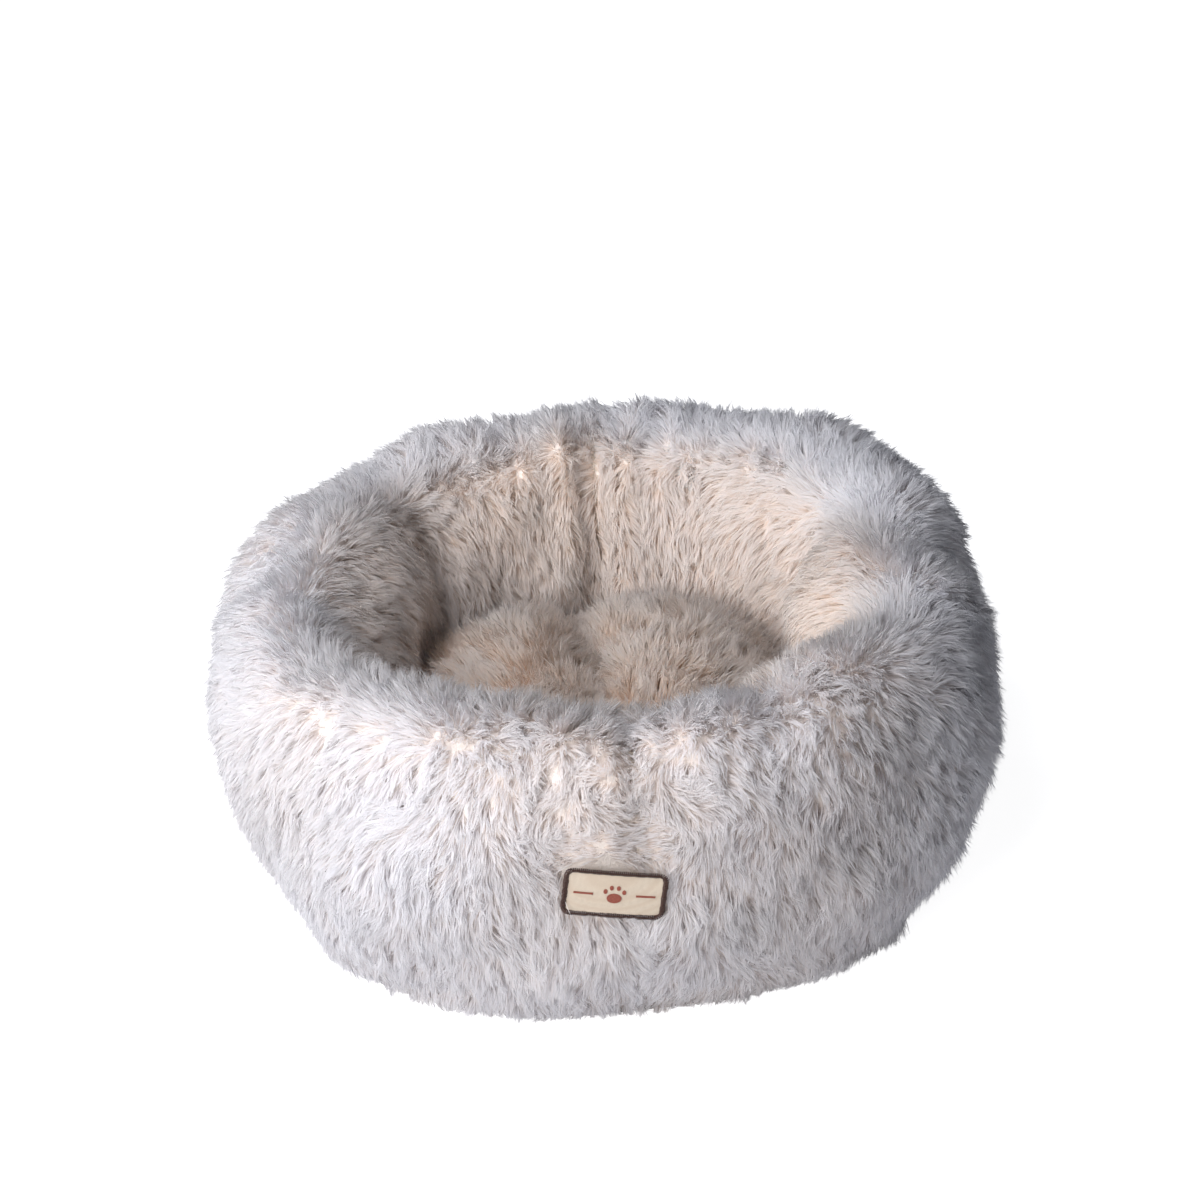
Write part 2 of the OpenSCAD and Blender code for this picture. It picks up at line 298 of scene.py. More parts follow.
ring_quads = grid_quads(NT, NU, True, True)
flat_ring = ring.reshape(-1, 3)
if np.sum(np.cross(flat_ring[ring_quads[:, 1]] - flat_ring[ring_quads[:, 0]],
                   flat_ring[ring_quads[:, 3]] - flat_ring[ring_quads[:, 0]])
          * flat_ring[ring_quads[:, 0]] * [1, 1, 0]) < 0:
    ring_quads = ring_quads[:, ::-1]
seam_pin = np.maximum(bump(np.degrees(wrap(TH - SEAM_BACK)), 1.5),
                      bump(np.degrees(wrap(TH - SEAM_FRONT)), 1.5))
pins = np.maximum(1 - step(ring[..., 2], foot_z + 0.001, foot_z + 0.02), seam_pin)
ring = inflate("wall_sim", flat_ring, ring_quads, pins.reshape(-1), 4.0, 16, 0.006
               ).reshape(NT, NU, 3)
ring[..., 2] = np.maximum(ring[..., 2], foot_z)


# ---------------------------------------------------------------- materials
def material(name, base, rough=0.85, spec=0.25, sheen=0.0):
    """A new material with its node tree and its Principled node."""
    m = bpy.data.materials.new(name)
    m.use_nodes = True
    b = m.node_tree.nodes["Principled BSDF"]
    b.inputs["Base Color"].default_value = (*base, 1)
    b.inputs["Roughness"].default_value = rough
    b.inputs["Specular IOR Level"].default_value = spec
    b.inputs["Sheen Weight"].default_value = sheen
    b.inputs["Sheen Roughness"].default_value = 0.5
    return m, m.node_tree, b


def ramp_node(nt, stops):
    """Colour ramp from (position, colour) pairs."""
    node = nt.nodes.new("ShaderNodeValToRGB")
    while len(node.color_ramp.elements) < len(stops):
        node.color_ramp.elements.new(0.5)
    for e, (pos, col) in zip(node.color_ramp.elements, stops):
        e.position = pos
        e.color = (*col, 1)
    return node


def mix_node(nt, fac, a, b, kind="MIX"):
    """Colour mix of two sockets or colours."""
    node = nt.nodes.new("ShaderNodeMix")
    node.data_type = "RGBA"
    node.blend_type = kind
    socks = [s for s in node.inputs if s.enabled]
    for sock, val in zip(socks, (fac, a, b)):
        if isinstance(val, bpy.types.NodeSocket):
            nt.links.new(val, sock)
        elif isinstance(val, (int, float)):
            sock.default_value = val
        else:
            sock.default_value = (*val, 1)
    return [s for s in node.outputs if s.enabled][0]


def noise_node(nt, scale, detail=3.0, rough=0.6, vector=None):
    node = nt.nodes.new("ShaderNodeTexNoise")
    node.inputs["Scale"].default_value = scale
    node.inputs["Detail"].default_value = detail
    node.inputs["Roughness"].default_value = rough
    if vector is not None:
        nt.links.new(vector, node.inputs["Vector"])
    return node.outputs["Fac"]


def object_coords(nt):
    return nt.nodes.new("ShaderNodeTexCoord").outputs["Object"]


def add_bump(nt, b, height, strength, distance):
    node = nt.nodes.new("ShaderNodeBump")
    node.inputs["Strength"].default_value = strength
    node.inputs["Distance"].default_value = distance
    nt.links.new(height, node.inputs["Height"])
    nt.links.new(node.outputs["Normal"], b.inputs["Normal"])


def pile_material(name, tips, mids, roots):
    """Colour depends only on the strand map: across is the strand's tint, up is root to tip."""
    m, nt, b = material(name, tips[0], rough=0.6, spec=0.3, sheen=0.15)
    uv = nt.nodes.new("ShaderNodeUVMap")
    uv.uv_map = "OFBake"
    sep = nt.nodes.new("ShaderNodeSeparateXYZ")
    nt.links.new(uv.outputs["UV"], sep.inputs[0])
    # Each ramp runs from darker, warmer roots to paler tips. This is painted shade deep in the pile,
    # not a colour of the fibre.
    cool = ramp_node(nt, [(0.0, roots[0]), (0.42, mids[0]), (0.82, tips[0])])
    warm = ramp_node(nt, [(0.0, roots[1]), (0.42, mids[1]), (0.82, tips[1])])
    for node in (cool, warm):
        nt.links.new(sep.outputs["Y"], node.inputs["Fac"])
    colour = mix_node(nt, sep.outputs["X"], cool.outputs["Color"], warm.outputs["Color"])
    nt.links.new(colour, b.inputs["Base Color"])
    through = nt.nodes.new("ShaderNodeBsdfTranslucent")
    nt.links.new(colour, through.inputs["Color"])
    both = nt.nodes.new("ShaderNodeMixShader")
    both.inputs["Fac"].default_value = 0.5
    nt.links.new(b.outputs["BSDF"], both.inputs[1])
    nt.links.new(through.outputs["BSDF"], both.inputs[2])
    nt.links.new(both.outputs["Shader"], nt.nodes["Material Output"].inputs["Surface"])
    return m


wall_pile = pile_material("wall_pile", ((0.960, 0.965, 0.992), (0.980, 0.920, 0.870)),
                          ((0.960, 0.950, 0.970), (0.970, 0.870, 0.790)),
                          ((0.960, 0.925, 0.925), (0.950, 0.810, 0.690)))
cushion_pile = pile_material("cushion_pile", ((0.975, 0.930, 0.895), (0.975, 0.890, 0.820)),
                             ((0.960, 0.870, 0.790), (0.950, 0.800, 0.670)),
                             ((0.930, 0.790, 0.670), (0.900, 0.680, 0.520)))


def backing_material(name, dark, light):
    """Knitted plush backing seen between the tufts."""
    m, nt, b = material(name, light, rough=0.95, spec=0.1)
    co = object_coords(nt)
    f = noise_node(nt, 420, 2.0, 0.7, co)
    g = noise_node(nt, 35, 3.0, 0.6, co)
    r = ramp_node(nt, [(0.3, dark), (0.7, light)])
    nt.links.new(f, r.inputs["Fac"])
    nt.links.new(mix_node(nt, g, r.outputs["Color"], light), b.inputs["Base Color"])
    add_bump(nt, b, f, 0.6, 0.001)
    return m


backing = backing_material("plush_backing", (0.85, 0.77, 0.71), (0.91, 0.85, 0.80))
backing_deep = backing_material("cushion_backing", (0.80, 0.67, 0.56), (0.91, 0.81, 0.72))


def weave_material(name, a, b_col, scale, rough=0.8, bump_d=0.0004, blotch=0.15):
    """Plain woven cloth: two crossed sets of threads with a slow change of tone."""
    m, nt, b = material(name, a, rough=rough, spec=0.2, sheen=0.1)
    co = object_coords(nt)
    waves = []
    for axis in ("X", "Y"):
        w = nt.nodes.new("ShaderNodeTexWave")
        w.wave_type = "BANDS"
        w.bands_direction = axis
        w.inputs["Scale"].default_value = scale
        w.inputs["Distortion"].default_value = 1.2
        w.inputs["Detail"].default_value = 2
        nt.links.new(co, w.inputs["Vector"])
        waves.append(w.outputs["Fac"])
    mx = nt.nodes.new("ShaderNodeMath")
    mx.operation = "MULTIPLY"
    nt.links.new(waves[0], mx.inputs[0])
    nt.links.new(waves[1], mx.inputs[1])
    r = ramp_node(nt, [(0.0, b_col), (0.6, a)])
    nt.links.new(mx.outputs[0], r.inputs["Fac"])
    slow = noise_node(nt, 22, 3.0, 0.6, co)
    tone = ramp_node(nt, [(0.3, (1 - blotch,) * 3), (0.7, (1, 1, 1))])
    nt.links.new(slow, tone.inputs["Fac"])
    nt.links.new(mix_node(nt, 1.0, r.outputs["Color"], tone.outputs["Color"], "MULTIPLY"),
                 b.inputs["Base Color"])
    add_bump(nt, b, mx.outputs[0], 0.7, bump_d)
    return m


def fibre_material():
    """Loose white polyester fibre."""
    m, nt, b = material("fibre", (0.93, 0.93, 0.92), rough=0.95, spec=0.1, sheen=0.3)
    co = object_coords(nt)
    f = noise_node(nt, 260, 5.0, 0.8, co)
    r = ramp_node(nt, [(0.3, (0.80, 0.80, 0.79)), (0.7, (0.95, 0.95, 0.94))])
    nt.links.new(f, r.inputs["Fac"])
    nt.links.new(r.outputs["Color"], b.inputs["Base Color"])
    add_bump(nt, b, f, 0.8, 0.002)
    return m


fibre = fibre_material()
base_weave = weave_material("base_weave", (0.47, 0.42, 0.36), (0.34, 0.30, 0.25), 260)
lining_weave = weave_material("lining_weave", (0.80, 0.73, 0.64), (0.66, 0.58, 0.48), 230)
seam_cloth = weave_material("seam_cloth", (0.76, 0.68, 0.57), (0.60, 0.51, 0.41), 300)
label_weave = weave_material("label_weave", (0.76, 0.66, 0.53), (0.64, 0.53, 0.41), 420,
                             rough=0.45, bump_d=0.00025, blotch=0.08)


def thread_material(name, a, b_col):
    """Spun thread, mottled along its length."""
    m, nt, b = material(name, a, rough=0.55, spec=0.35, sheen=0.15)
    f = noise_node(nt, 900, 3.0, 0.7, object_coords(nt))
    r = ramp_node(nt, [(0.3, b_col), (0.7, a)])
    nt.links.new(f, r.inputs["Fac"])
    nt.links.new(r.outputs["Color"], b.inputs["Base Color"])
    add_bump(nt, b, f, 0.5, 0.0003)
    return m


brown_thread = thread_material("brown_thread", (0.085, 0.035, 0.022), (0.035, 0.014, 0.010))
red_thread = thread_material("red_thread", (0.33, 0.085, 0.05), (0.20, 0.045, 0.03))
cream_thread = thread_material("cream_thread", (0.85, 0.78, 0.68), (0.68, 0.60, 0.50))


def rubber_material():
    """Dull rubber of the base cloth's grip dots."""
    m, nt, b = material("grip_rubber", (0.20, 0.18, 0.16), rough=0.6, spec=0.4)
    f = noise_node(nt, 500, 3.0, 0.6, object_coords(nt))
    r = ramp_node(nt, [(0.3, (0.15, 0.135, 0.12)), (0.7, (0.23, 0.21, 0.19))])
    nt.links.new(f, r.inputs["Fac"])
    nt.links.new(r.outputs["Color"], b.inputs["Base Color"])
    add_bump(nt, b, f, 0.3, 0.0003)
    return m


grip_rubber = rubber_material()


def dress(ob, mat):
    ob.data.materials.clear()
    ob.data.materials.append(mat)
    return ob


def tidy_mesh(ob, merge=0.0):
    """Turns every face outward, after joining points closer than merge."""
    bm = bmesh.new()
    bm.from_mesh(ob.data)
    if merge:
        bmesh.ops.remove_doubles(bm, verts=bm.verts, dist=merge)
    bmesh.ops.recalc_face_normals(bm, faces=bm.faces)
    bm.to_mesh(ob.data)
    bm.free()


# ---------------------------------------------------------------- skins of the wall's two covers
def half_skin(name, i0, i1, nodes):
    """One plush panel between two columns of the ring, closed flat at both seams."""
    idx = np.arange(i0, i1 + 1) % NT
    part = ring[idx]
    quads = grid_quads(len(idx), NU, False, True)
    caps = []
    for k, flip in ((0, False), (len(idx) - 1, True)):
        j = np.arange(NU // 2 - 1)
        cap = np.stack([k * NU + j, k * NU + j + 1, k * NU + NU - 2 - j, k * NU + NU - 1 - j], -1)
        caps.append(cap[:, ::-1] if flip else cap)
    ob = mesh_object(name, part, [quads] + caps)
    tidy_mesh(ob)
    dress(ob, backing)
    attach(ob, "bed")
    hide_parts(*nodes)
    return ob


i_back = int(round((SEAM_BACK % (2 * math.pi)) / (2 * math.pi) * NT))
i_front = int(round((SEAM_FRONT % (2 * math.pi)) / (2 * math.pi) * NT))
half_skin("wall_skin_left", i_back, i_front, ["wall_cover_left"])
half_skin("wall_skin_right", i_front, i_back + NT, ["wall_cover_right"])

# the loose fibre inside the wall
FILL_NT, FILL_NU = 96, 36
fill_u = np.linspace(-foot_turn, math.pi + foot_turn, FILL_NU)
FT, FU = np.meshgrid(np.arange(FILL_NT) * 2 * math.pi / FILL_NT, fill_u, indexing="ij")
fill_pts = wall_surface(FT, FU, PILE + 0.005)
fill_pts[..., 2] = np.maximum(fill_pts[..., 2], foot_z + 0.0036)
fill_pts += (Waves(9, 0.03)(fill_pts) * 0.0012)[..., None] * np.array([1, 1, 0])
fill = mesh_object("wall_fill", fill_pts, [grid_quads(FILL_NT, FILL_NU, True, True)])
tidy_mesh(fill)
dress(fill, fibre)
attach(fill, "bed")
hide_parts("wall_stuffing")


# ---------------------------------------------------------------- cushion skin
CN, CM = 128, 56        # steps round the cushion and from its underside to its crown
SIDE_Z = 0.088          # height of the cushion's widest level
VALLEY_X, VALLEY_SLOPE = 0.006, 0.10
under_z = under_lo.z + 0.0005
crown_z = cush_hi.z


def cushion_surface(cth, v, grow=0.0):
    """v runs from 0 at the middle of the underside, over the side, to 1 at the crown."""
    scale = (plan_r(cth) - reach - CUSHION_GAP) - 0.004 + grow
    a = (v - 0.5) * math.pi
    rr = np.cos(a) ** (2 / 3.4) * scale
    up = crown_z - PILE - 0.003 + grow - SIDE_Z
    low = SIDE_Z - under_z
    lev = spow(np.sin(a), 2 / 3.0)
    z = SIDE_Z + np.where(lev > 0, up * lev, low * 1.12 * lev)
    z = np.maximum(z, under_z)
    x, y = rr * np.cos(cth), rr * np.sin(cth)
    topness = step(lev, 0.2, 0.9)
    valley = bump(x + VALLEY_X + VALLEY_SLOPE * y, 0.020) * (0.55 + 0.45 * step(y, -0.08, 0.10))
    right_mound = bump(x - 0.070, 0.050) * bump(y + 0.005, 0.095)
    mound = right_mound + 0.8 * bump(x + 0.072, 0.050) * bump(y - 0.01, 0.09)
    z = z + topness * (0.011 * mound - 0.020 * valley)
    return np.stack([x, y, z], -1)


cv = np.linspace(0.0, 1.0, CM)
CT, CV = np.meshgrid(np.arange(CN) * 2 * math.pi / CN, cv, indexing="ij")
cush = cushion_surface(CT, CV)
cush_quads = grid_quads(CN, CM, True, False)
seam_row = int(round(0.47 * (CM - 1)))
c_pin = np.maximum(1 - step(cush[..., 2], under_z + 0.001, under_z + 0.012),
                   0.8 * bump(CV - cv[seam_row], 0.012))
in_valley = bump(cush[..., 0] + VALLEY_X + VALLEY_SLOPE * cush[..., 1], 0.006)
c_pin = np.maximum(c_pin, 0.9 * in_valley * (CV > 0.7))
cush = inflate("cushion_sim", cush.reshape(-1, 3), cush_quads, c_pin.reshape(-1), 4.0, 16, 0.007
               ).reshape(CN, CM, 3)
cush[..., 2] = np.maximum(cush[..., 2], under_z)


def cushion_half(name, j0, j1, mat, nodes):
    """Pillow half between rows j0 and j1, closed by a flat sheet at the side seam."""
    part = cush[:, j0:j1 + 1]
    nj = j1 - j0 + 1
    quads = grid_quads(CN, nj, True, False)
    rim = 0 if j1 == CM - 1 else nj - 1
    verts = part.reshape(-1, 3)
    mid = verts[np.arange(CN) * nj + rim].mean(0)
    verts = np.vstack([verts, mid])
    i = np.arange(CN)
    cap = np.stack([i * nj + rim, ((i + 1) % CN) * nj + rim, np.full(CN, len(verts) - 1)], -1)
    ob = mesh_object(name, verts, [quads, cap])
    tidy_mesh(ob, merge=0.00002)
    dress(ob, mat)
    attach(ob, "cushion")
    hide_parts(*nodes)
    return ob


cushion_half("cushion_skin", seam_row, CM - 1, backing_deep, ["cushion_top"])
cushion_half("cushion_under", 0, seam_row, lining_weave, ["cushion_bottom"])

# the cushion's fibre, just inside its cloth
CORE_NT, CORE_NV = 64, 26
fv = np.linspace(0.0, 1.0, CORE_NV)
KT, KV = np.meshgrid(np.arange(CORE_NT) * 2 * math.pi / CORE_NT, fv, indexing="ij")
core_pts = cushion_surface(KT, KV, grow=-0.006)
core_pts[..., 2] = np.maximum(core_pts[..., 2], under_z + 0.003)
core = mesh_object("cushion_fill", core_pts, [grid_quads(CORE_NT, CORE_NV, True, False)])
tidy_mesh(core)
dress(core, fibre)
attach(core, "cushion")
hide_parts("cushion_stuffing")


# ---------------------------------------------------------------- the pile
def bilinear(grid, a, b):
    """Values of a grid that closes along its first index, at fractional indices a and b."""
    i, j = np.floor(a).astype(int), np.floor(b).astype(int)
    fa, fb = (a - i)[:, None], (b - j)[:, None]
    i2 = (i + 1) % grid.shape[0]
    i = i % grid.shape[0]
    j2 = np.minimum(j + 1, grid.shape[1] - 1)
    return ((grid[i, j] * (1 - fa) + grid[i2, j] * fa) * (1 - fb)
            + (grid[i, j2] * (1 - fa) + grid[i2, j2] * fa) * fb)


def scatter(grid, weight, count):
    """count points of a grid, spread by area times weight, as fractional grid indices."""
    ni, nj = grid.shape[:2]
    nxt = np.roll(grid, -1, 0)
    d1 = nxt[:, :-1] - grid[:, :-1]
    d2 = grid[:, 1:] - grid[:, :-1]
    area = np.linalg.norm(np.cross(d1, d2), axis=-1) * weight[:, :-1]
    cum = np.cumsum(area.reshape(-1))
    pick = np.searchsorted(cum, RNG.uniform(0, cum[-1], count))
    pick = np.minimum(pick, len(cum) - 1)
    return pick // (nj - 1) + RNG.uniform(0, 1, count), pick % (nj - 1) + RNG.uniform(0, 1, count)


STATIONS = 4            # points along a strand


def strands(base, n, comb, lift0, lift1, length, tint, per, spread, cling, curl, width, droop):
    """Tufts of tapering strands, per of them to a tuft.

    base, n and comb are each tuft's root, normal and combing direction. lift0 and lift1 are the
    angles from the normal at root and tip. cling draws a tuft's tips together and droop pulls them
    down. Returns every strand's centre line, side vectors, tint, width and shading normals.
    """
    tufts = len(base)
    own = np.repeat(np.arange(tufts), per)
    s = len(own)
    t = np.linspace(0, 1, STATIONS)
    # the tuft's own path
    mid = (t[:-1] + t[1:]) / 2
    ang = lift0[:, None] + (lift1 - lift0)[:, None] * mid[None] ** 0.7
    d = (n[:, None] * np.cos(ang)[..., None] + comb[:, None] * np.sin(ang)[..., None])
    d[..., 2] -= droop[:, None] * mid[None] ** 1.5
    d = unit(d)
    path = np.zeros((tufts, STATIONS, 3))
    path[:, 1:] = np.cumsum(d, 1) / (STATIONS - 1)
    side0 = unit(np.cross(n, comb))
    rad = np.sqrt(RNG.uniform(0, 1, s)) * spread[own]
    turn = RNG.uniform(0, 2 * math.pi, s)
    off = comb[own] * (rad * np.cos(turn))[:, None] + side0[own] * (rad * np.sin(turn))[:, None]
    long = length[own] * RNG.uniform(0.72, 1.12, s)
    keep = (1 - cling[own][:, None] * t[None] ** 0.9 * RNG.uniform(0.6, 1.15, s)[:, None])
    line = base[own][:, None] + path[own] * long[:, None, None] + off[:, None] * keep[..., None]
    wave = curl[own][:, None] * long[:, None] * t[None] * np.sin(
        RNG.uniform(2.0, 4.5, s)[:, None] * t[None] * 1.7 + RNG.uniform(0, 6.28, s)[:, None])
    line = line + side0[own][:, None] * wave[..., None]
    stray = RNG.normal(0, 1, (s, 3)) * (0.05 * long)[:, None]
    line = line + stray[:, None] * (t ** 1.6)[None, :, None]
    seg = unit(np.gradient(line, axis=1))
    twist = RNG.normal(0, 0.75, s)
    sd = unit(np.cross(n[own][:, None], seg))
    sd = sd * np.cos(twist)[:, None, None] + np.cross(seg, sd) * np.sin(twist)[:, None, None]
    wide = width * RNG.uniform(0.7, 1.3, s)
    face = unit(np.cross(seg, sd))
    soft = unit(n[own][:, None] + 0.65 * face + 0.25 * comb[own][:, None] * t[None, :, None])
    return line, sd, np.clip(tint[own] + RNG.normal(0, 0.10, s), 0.02, 0.98), wide, soft


PROFILE = np.array([0.85, 1.0, 0.75, 0.0])      # width along a strand
TINT_SPAN = 0.012                               # half a strand's width on its colour map


def pile_object(name, line, sd, tint, wide, soft, mat, body):
    """One mesh of strands, each two quads and a pointed tip."""
    s = len(line)
    half = (wide[:, None] * PROFILE[None] / 2)[..., None] * sd
    a, b = line - half, line + half
    verts = np.empty((s, 7, 3), np.float32)
    verts[:, 0:6:2] = a[:, :3]
    verts[:, 1:6:2] = b[:, :3]
    verts[:, 6] = line[:, 3]
    base = (np.arange(s) * 7)[:, None]
    q = np.array([[0, 2, 3, 1], [2, 4, 5, 3]])
    quads = (base[:, None] + q[None]).reshape(s, 8)
    tri = base + np.array([4, 6, 5])[None]
    flat = np.concatenate([quads, tri], 1).reshape(-1).astype(np.int32)
    totals = np.tile(np.array([4, 4, 3], np.int32), s)
    me = bpy.data.meshes.new(name)
    me.vertices.add(s * 7)
    me.vertices.foreach_set("co", verts.reshape(-1))
    me.loops.add(len(flat))
    me.loops.foreach_set("vertex_index", flat)
    me.polygons.add(len(totals))
    starts = np.concatenate([[0], np.cumsum(totals)[:-1]]).astype(np.int32)
    me.polygons.foreach_set("loop_start", starts)
    me.polygons.foreach_set("loop_total", totals)
    me.update(calc_edges=True)
    me.polygons.foreach_set("use_smooth", np.ones(len(totals), bool))
    shade = soft[:, [0, 0, 1, 1, 2, 2, 3]].reshape(-1, 3)
    me.normals_split_custom_set_from_vertices(shade.astype(np.float32))
    uv = me.uv_layers.new(name="OFBake")
    tv = np.array([0.0, 0.33, 0.67, 1.0])
    vert_v = np.array([0, 0, 1, 1, 2, 2, 3])
    vert_u = np.array([-1, 1, -1, 1, -1, 1, 0]) * TINT_SPAN
    u = np.clip(tint[:, None] + vert_u[None], 0.001, 0.999)
    v = np.broadcast_to(0.005 + 0.99 * tv[vert_v][None], u.shape)
    per_vert = np.stack([u, v], -1).reshape(-1, 2)
    uv.data.foreach_set("uv", per_vert[flat].astype(np.float32).reshape(-1))
    ob = bpy.data.objects.new(name, me)
    bpy.context.scene.collection.objects.link(ob)
    dress(ob, mat)
    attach(ob, body)
    return ob


FLOOR_CLEAR = 0.0012


def clamp_floor(line, z_min):
    """Bends strands that would pass below z_min along it."""
    line[..., 2] = np.where(line[..., 2] < z_min, z_min + (line[..., 2] - z_min) * 0.02, line[..., 2])
    line[..., 2] = np.maximum(line[..., 2], z_min - 0.0004)
    return line


# ---- wall pile
WALL_STRANDS = 444000
PER = 6                 # strands in a tuft
WALL_LENGTH, WALL_WIDTH = 0.0192, 0.00074
wn, wti, wtj = grid_frame(ring)
if np.mean(np.sum(wn[:, NU // 4] * ring[:, NU // 4] * [1, 1, 0], -1)) < 0:
    wn = -wn
wz = ring[..., 2]
u_deg = np.degrees(UU)
inner_low = (u_deg > 120) * (1 - step(wz, 0.10, 0.15))
density = step(wz, foot_z + 0.0005, foot_z + 0.006) * (1 - 0.62 * inner_low)
density = density * (1 + 0.45 * bump(u_deg - 104, 24))
pa, pb = scatter(ring, density, WALL_STRANDS // PER)
base = bilinear(ring, pa, pb)
nn = unit(bilinear(wn, pa, pb))
tth = unit(bilinear(wti, pa, pb))
tsec = unit(bilinear(wtj, pa, pb))      # from the outer foot over the crest to the inner foot
b_th = np.interp(pa % NT, np.arange(NT + 1), np.append(ths, 2 * math.pi))
b_u = np.degrees(np.interp(pb, np.arange(NU), us))
m = len(base)
slow, mid_w, fine, lock = Waves(21, 0.22), Waves(22, 0.075), Waves(23, 0.030), Waves(24, 0.013)
# the pile parts along the crest: f is -1 where it is combed down outside and 1 down into the nest
part = 106 + 5 * slow(base) + 3 * mid_w(base)
f = np.clip((b_u - part) / 36, -1, 1)
deg = np.degrees(wrap(b_th))


def off_deg(a):
    """Each tuft's turn from the plan angle a, in degrees."""
    return (deg - a + 180) % 360 - 180


outer_side = b_u < 96
smooth = step(b_u, 92, 112) * np.maximum(bump(off_deg(-22), 38), bump(off_deg(172), 30))
swirl = (20 * slow(base + 3.1) + 18 * mid_w(base + 1.7) + 16 * fine(base) + 22 * lock(base)
         + RNG.normal(0, 11, m))
calm = np.maximum(0.60 * step(b_u, 104, 128), smooth)
swirl *= 1 - 0.6 * calm
swirl += np.where(outer_side, 30 * bump(off_deg(175), 55), 0)
swirl += np.where(outer_side, -16 * bump(off_deg(-20), 45), 0)
matted = bump(off_deg(-88), 17) * bump(b_u - 45, 45)
swirl += matted * 55 * Waves(31, 0.045)(base)
for seam_a in (np.degrees(SEAM_BACK), np.degrees(SEAM_FRONT)):
    dist = off_deg(seam_a)
    swirl += np.sign(dist) * 32 * bump(dist, 7) * np.sign(f + 1e-6)
sw = swirl * RAD
flat_f = np.where(np.abs(f) < 0.15, 0.15 * np.sign(f + 1e-9), f)
comb = unit(tsec * (flat_f * np.cos(sw))[:, None]
            + tth * (np.sin(sw) * (1.0 - 0.25 * np.abs(f)))[:, None])

# the label presses the pile aside
lab_c = np.array([(a + b) / 2 for a, b in zip(label_lo, label_hi)])
lab_w, lab_h = (label_hi.x - label_lo.x) / 2, (label_hi.z - label_lo.z) / 2
front_face = (base[:, 1] < -0.18) & outer_side
lx, lz = base[:, 0] - lab_c[0], base[:, 2] - lab_c[2]
above = (front_face * step(-np.abs(lx), -lab_w - 0.014, -lab_w + 0.004)
         * bump(lz - lab_h - 0.010, 0.016))
sideways = unit(np.stack([np.sign(lx + 0.006), np.zeros(m), np.full(m, 0.55)], -1))
sideways = unit(sideways - nn * np.sum(sideways * nn, -1, keepdims=True))
comb = unit(comb * (1 - above)[:, None] + sideways * (above * 1.5)[:, None])
comb = unit(comb - nn * np.sum(comb * nn, -1, keepdims=True))

lean0 = (8 + 14 * np.abs(f) + 7 * fine(base + 2.2) + 9 * lock(base + 4.4)) * RAD
lean1 = (24 + 38 * np.abs(f) + 8 * mid_w(base + 5.5) + 10 * lock(base + 1.1)
         + RNG.normal(0, 8, m)) * RAD
lean1 += 24 * RAD * step(b_u, 106, 130) + 12 * RAD * smooth
lean1 = np.clip(lean1 + above * 0.25, 0.1, 1.5)
length = WALL_LENGTH * (1 + 0.06 * mid_w(base + 8) + RNG.normal(0, 0.07, m))
length = length * (1 - 0.35 * above) * (1 - 0.12 * matted)
length *= 1 - 0.30 * inner_low[(pa.astype(int) % NT), np.minimum(pb.astype(int), NU - 1)]
# Inside the nest the strands take the warmer, darker tint. This is painted warm shade from light
# bounced round the nest.
inside_painted_warmth = step(b_u, 92, 135)
tint = (0.08 + 0.76 * inside_painted_warmth + 0.30 * matted + 0.20 * bump(off_deg(-68), 32) + 0.08 * slow(base + 9)
        - 0.10 * bump(off_deg(0), 45) * (1 - inside_painted_warmth))
spread = 0.0028 * RNG.uniform(0.7, 1.3, m)
cling = np.clip(0.58 + 0.12 * RNG.normal(0, 1, m), 0.25, 0.95)
curl = np.abs(RNG.normal(0.035, 0.02, m)) + 0.05 * matted
low = step(-b_u, 0, 45)
droop = np.where(b_u < 92, 0.26 * (1 - low), 0.18)
length = length * (1 - 0.25 * low)
lean1 = lean1 + 14 * RAD * low
line, sd, tints, wide, soft = strands(base, nn, comb, lean0, lean1, length, tint, PER, spread,
                                      cling, curl, WALL_WIDTH, droop)
line = clamp_floor(line, FLOOR_CLEAR)
owner_th = np.repeat(b_th, PER)

# strands that would cross the label's face are left out, apart from a few
in_label = ((np.abs(line[..., 0] - lab_c[0]) < lab_w - 0.001)
            & (np.abs(line[..., 2] - lab_c[2]) < lab_h - 0.002)
            & (line[..., 1] < label_hi.y + 0.004)).any(1)
corner = (line[:, -1, 0] - lab_c[0] > lab_w * 0.45) & (line[:, -1, 2] - lab_c[2] > lab_h * 0.35)
few = RNG.uniform(0, 1, len(line)) < np.where(corner, 0.16, 0.006)
alive = ~in_label | few
line, sd, tints, wide, soft, owner_th = (v[alive] for v in (line, sd, tints, wide, soft, owner_th))

SECTORS = 12
order = np.argsort(owner_th % (2 * math.pi), kind="stable")
for k, idx in enumerate(np.array_split(order, SECTORS)):
    pile_object(f"wall_pile_{k + 1:02d}", line[idx], sd[idx], tints[idx], wide[idx], soft[idx],
                wall_pile, "bed")

